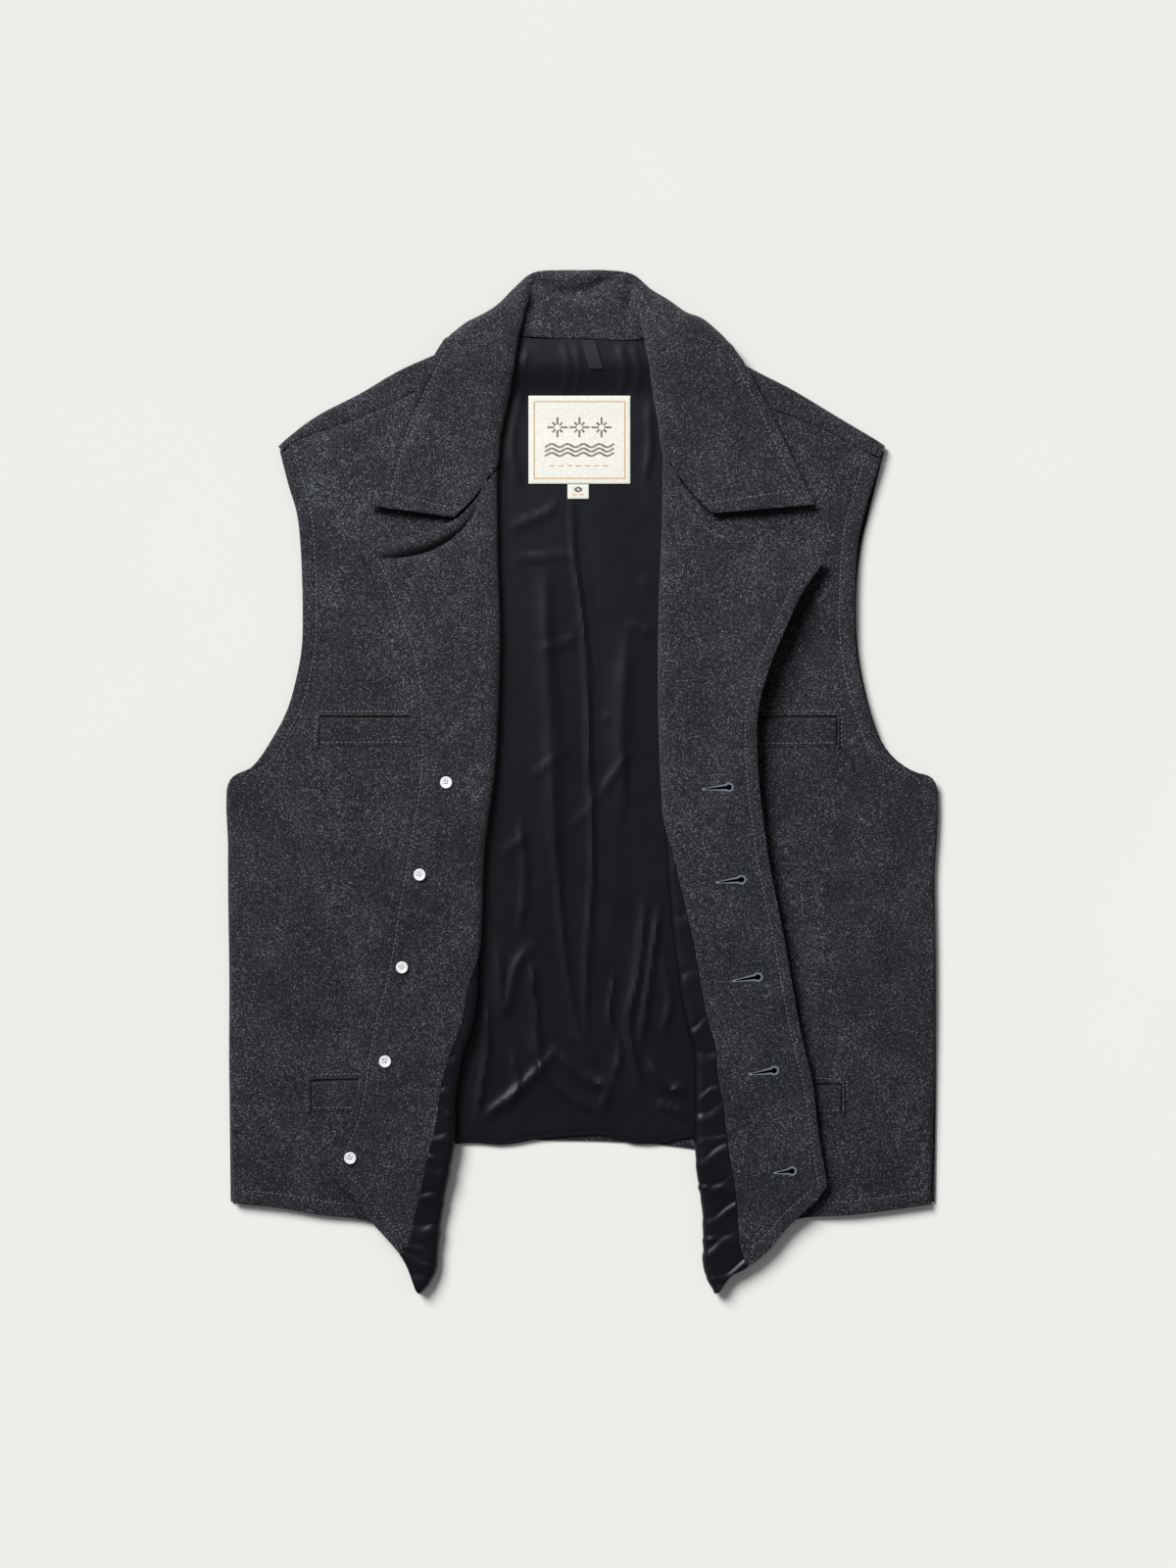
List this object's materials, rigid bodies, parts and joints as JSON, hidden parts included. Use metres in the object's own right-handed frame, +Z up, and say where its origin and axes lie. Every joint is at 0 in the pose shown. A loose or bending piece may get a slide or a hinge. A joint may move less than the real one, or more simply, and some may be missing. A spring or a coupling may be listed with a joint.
{
  "type": "western vest",
  "caption": "Sleeveless wool vest with notched collar and pointed front hems, laid flat with both fronts folded open to show the satin lining.",
  "frame": {"origin": "centre of the garment's outline, on the surface that it lies on", "axes": "+X to the wearer's left, +Y from the hem to the collar, +Z up from the surface, towards someone looking down at it"},
  "size_m": [0.566, 0.8133, 0.0195],
  "materials": {
    "wool": "brushed charcoal heather wool",
    "satin_lining": "black satin",
    "label_weave": "woven cream label with a tan border",
    "cord": "ribbed dark navy cord",
    "white_button": "translucent white, slightly glossy",
    "dark_button": "dark, glossy"
  },
  "bodies": {
    "root": {"back": "wool", "back_lining": "satin_lining", "front_right": "wool", "front_left": "wool", "facing_right": "wool", "facing_left": "wool", "front_lining_right": "satin_lining", "front_lining_left": "satin_lining", "top_collar": "wool", "under_collar": "wool", "welt_chest_right": "wool", "welt_chest_left": "wool", "welt_hip_right": "wool", "welt_hip_left": "wool", "neck_label": "label_weave", "size_tab": "label_weave", "hanger_loop": "cord", "button_1": "dark_button", "button_2": "dark_button", "button_3": "dark_button", "button_4": "dark_button", "button_5": "dark_button", "stay_button_1": "white_button", "stay_button_2": "white_button", "stay_button_3": "white_button", "stay_button_4": "white_button", "stay_button_5": "white_button"}
  },
  "joints": []
}
